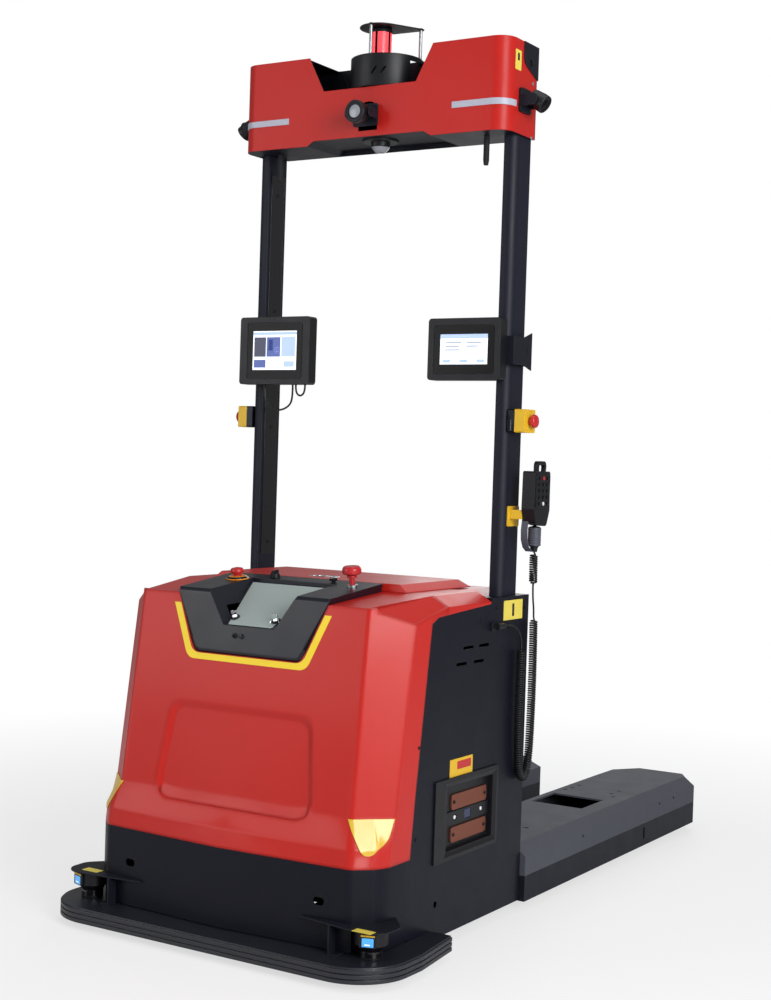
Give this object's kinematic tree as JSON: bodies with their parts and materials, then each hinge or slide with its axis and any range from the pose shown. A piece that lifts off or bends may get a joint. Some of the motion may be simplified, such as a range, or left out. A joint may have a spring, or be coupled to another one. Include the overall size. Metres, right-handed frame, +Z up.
{
  "type": "autonomous low-lift platform truck",
  "caption": "Driverless low-lift truck with a red nose cover, two load legs with lifting decks and a sensor gantry on two masts.",
  "frame": {"origin": "on the floor, at the middle of the overall width and length", "axes": "+Z up, nose towards -Y, load legs reach along +Y, +X to the side with the charging port"},
  "size_m": [1.1096, 2.341, 2.602],
  "materials": {
    "red_panel": "satin",
    "dark_panel": "satin",
    "dark_steel": "matt powder coat",
    "deck_grey": "textured powder coat",
    "black_plastic": "moulded",
    "black_rubber": "matt",
    "light_lens": "satin",
    "lidar_glow": "gloss",
    "display_black": "gloss",
    "safety_yellow": "moulded",
    "stop_red": "gloss",
    "steel": "brushed",
    "chrome": "polished",
    "copper": "brushed",
    "polyurethane": "matt",
    "battery_case": "moulded",
    "cord_black": "matt"
  },
  "bodies": {
    "root": {"chassis_frame": "dark_steel", "front_apron": "dark_panel", "side_panel_left": "dark_panel", "side_panel_right": "dark_panel", "front_cover": "red_panel", "console_moulding": "black_plastic", "rear_hood": "red_panel", "scanners": "black_plastic", "scanner_mounts": "dark_steel", "bumper_skirt": "black_rubber", "masts": "dark_panel", "gantry_beam": "dark_steel", "gantry_shroud": "red_panel", "gantry_brackets": "dark_steel", "light_lenses": "light_lens", "antennas": "black_rubber", "dome_camera": "black_plastic", "lidar_housing": "black_plastic", "lidar_hat": "black_plastic", "displays": "display_black", "display_brackets": "dark_steel", "display_cables": "cord_black", "estop_boxes": "safety_yellow", "pendant_body": "black_plastic", "pendant_holder": "safety_yellow", "cord_upper_coil": "cord_black", "cord_link": "cord_black", "cord_lower_coil": "cord_black", "cord_tail": "cord_black", "cord_socket": "black_plastic", "leg_frames": "dark_steel", "lift_cylinders": "steel", "steer_motor": "black_plastic", "battery": "battery_case", "charging_housing": "black_plastic", "charging_contacts": "copper", "fasteners": "steel"},
    "lift_deck_left": {"lift_deck_left": "deck_grey"},
    "lift_deck_right": {"lift_deck_right": "deck_grey"},
    "load_wheel_left": {"load_wheel_left": "polyurethane"},
    "load_wheel_right": {"load_wheel_right": "polyurethane"},
    "drive_turret": {"drive_turret": "dark_steel"},
    "drive_wheel": {"drive_wheel": "polyurethane"},
    "caster_fork_left": {"caster_fork_left": "steel"},
    "caster_fork_right": {"caster_fork_right": "steel"},
    "caster_wheel_left": {"caster_wheel_left": "polyurethane"},
    "caster_wheel_right": {"caster_wheel_right": "polyurethane"},
    "estop_button_left": {"estop_button_left": "stop_red"},
    "estop_button_right": {"estop_button_right": "stop_red"},
    "estop_button_console": {"estop_button_console": "stop_red"},
    "start_button": {"start_button": "chrome"},
    "selector_knob": {"selector_knob": "black_plastic"},
    "disconnect_switch": {"disconnect_switch": "stop_red"},
    "key_switch_left": {"key_switch_left": "chrome"},
    "key_switch_right": {"key_switch_right": "chrome"},
    "battery_hatch": {"battery_hatch": "red_panel"},
    "front_camera": {"front_camera": "black_plastic"},
    "side_camera_left": {"side_camera_left": "black_plastic"},
    "side_camera_right": {"side_camera_right": "black_plastic"},
    "lidar_rotor": {"lidar_rotor": "lidar_glow"}
  },
  "joints": [
    {"name": "lift_left", "type": "slide", "parent": "root", "child": "lift_deck_left", "axis": [0, 0, 1], "range_m": [0, 0.1]},
    {"name": "lift_right", "type": "slide", "parent": "root", "child": "lift_deck_right", "axis": [0, 0, 1], "range_m": [0, 0.1]},
    {"name": "load_roll_left", "type": "hinge", "parent": "root", "child": "load_wheel_left", "pos_m": [-0.3, 0.9695, 0.042], "axis": [1, 0, 0], "continuous": true},
    {"name": "load_roll_right", "type": "hinge", "parent": "root", "child": "load_wheel_right", "pos_m": [0.3, 0.9695, 0.042], "axis": [1, 0, 0], "continuous": true},
    {"name": "drive_steer", "type": "hinge", "parent": "root", "child": "drive_turret", "pos_m": [0, -0.8005, 0.222], "axis": [0, 0, 1], "range_deg": [-90, 90]},
    {"name": "drive_roll", "type": "hinge", "parent": "drive_turret", "child": "drive_wheel", "pos_m": [0, -0.8005, 0.1], "axis": [1, 0, 0], "continuous": true},
    {"name": "caster_swivel_left", "type": "hinge", "parent": "root", "child": "caster_fork_left", "pos_m": [-0.33, -0.9005, 0.1316], "axis": [0, 0, 1], "continuous": true},
    {"name": "caster_swivel_right", "type": "hinge", "parent": "root", "child": "caster_fork_right", "pos_m": [0.33, -0.9005, 0.1316], "axis": [0, 0, 1], "continuous": true},
    {"name": "caster_roll_left", "type": "hinge", "parent": "caster_fork_left", "child": "caster_wheel_left", "pos_m": [-0.33, -0.8685, 0.05], "axis": [1, 0, 0], "continuous": true},
    {"name": "caster_roll_right", "type": "hinge", "parent": "caster_fork_right", "child": "caster_wheel_right", "pos_m": [0.33, -0.8685, 0.05], "axis": [1, 0, 0], "continuous": true},
    {"name": "press_estop_left", "type": "slide", "parent": "root", "child": "estop_button_left", "axis": [1, 0, 0], "range_m": [0, 0.004]},
    {"name": "press_estop_right", "type": "slide", "parent": "root", "child": "estop_button_right", "axis": [-1, 0, 0], "range_m": [0, 0.004]},
    {"name": "press_estop_console", "type": "slide", "parent": "root", "child": "estop_button_console", "axis": [0, 0.1164, -0.9932], "range_m": [0, 0.004]},
    {"name": "press_start", "type": "slide", "parent": "root", "child": "start_button", "axis": [0, 0.1164, -0.9932], "range_m": [0, 0.003], "stiffness_N_per_m": 300, "springref_m": -0.004},
    {"name": "turn_selector", "type": "hinge", "parent": "root", "child": "selector_knob", "pos_m": [-0.084, -0.7465, 0.96431], "axis": [0, -0.1164, 0.9932], "range_deg": [-45, 45]},
    {"name": "press_disconnect", "type": "slide", "parent": "root", "child": "disconnect_switch", "axis": [0, 0.1164, -0.9932], "range_m": [0, 0.018]},
    {"name": "turn_key_left", "type": "hinge", "parent": "root", "child": "key_switch_left", "pos_m": [-0.068, -0.9485, 0.8652], "axis": [0, -0.4584, 0.8887], "range_deg": [0, 90]},
    {"name": "turn_key_right", "type": "hinge", "parent": "root", "child": "key_switch_right", "pos_m": [0.068, -0.9485, 0.8652], "axis": [0, -0.4584, 0.8887], "range_deg": [0, 90]},
    {"name": "hatch_hinge", "type": "hinge", "parent": "root", "child": "battery_hatch", "pos_m": [0, -0.3525, 0.955], "axis": [-1, 0, 0], "range_deg": [0, 62]},
    {"name": "front_camera_tilt", "type": "hinge", "parent": "root", "child": "front_camera", "pos_m": [0, -0.5185, 2.31], "axis": [1, 0, 0], "range_deg": [-20, 30]},
    {"name": "side_camera_tilt_left", "type": "hinge", "parent": "root", "child": "side_camera_left", "pos_m": [-0.506, -0.3705, 2.33], "axis": [0, -1, 0], "range_deg": [-15, 15]},
    {"name": "side_camera_tilt_right", "type": "hinge", "parent": "root", "child": "side_camera_right", "pos_m": [0.506, -0.3705, 2.33], "axis": [0, 1, 0], "range_deg": [-15, 15]},
    {"name": "lidar_spin", "type": "hinge", "parent": "root", "child": "lidar_rotor", "pos_m": [0, -0.4115, 2.54], "axis": [0, 0, 1], "continuous": true}
  ],
  "couplings": [
    {"joint": "lift_right", "follows": "lift_left", "ratio": 1}
  ]
}
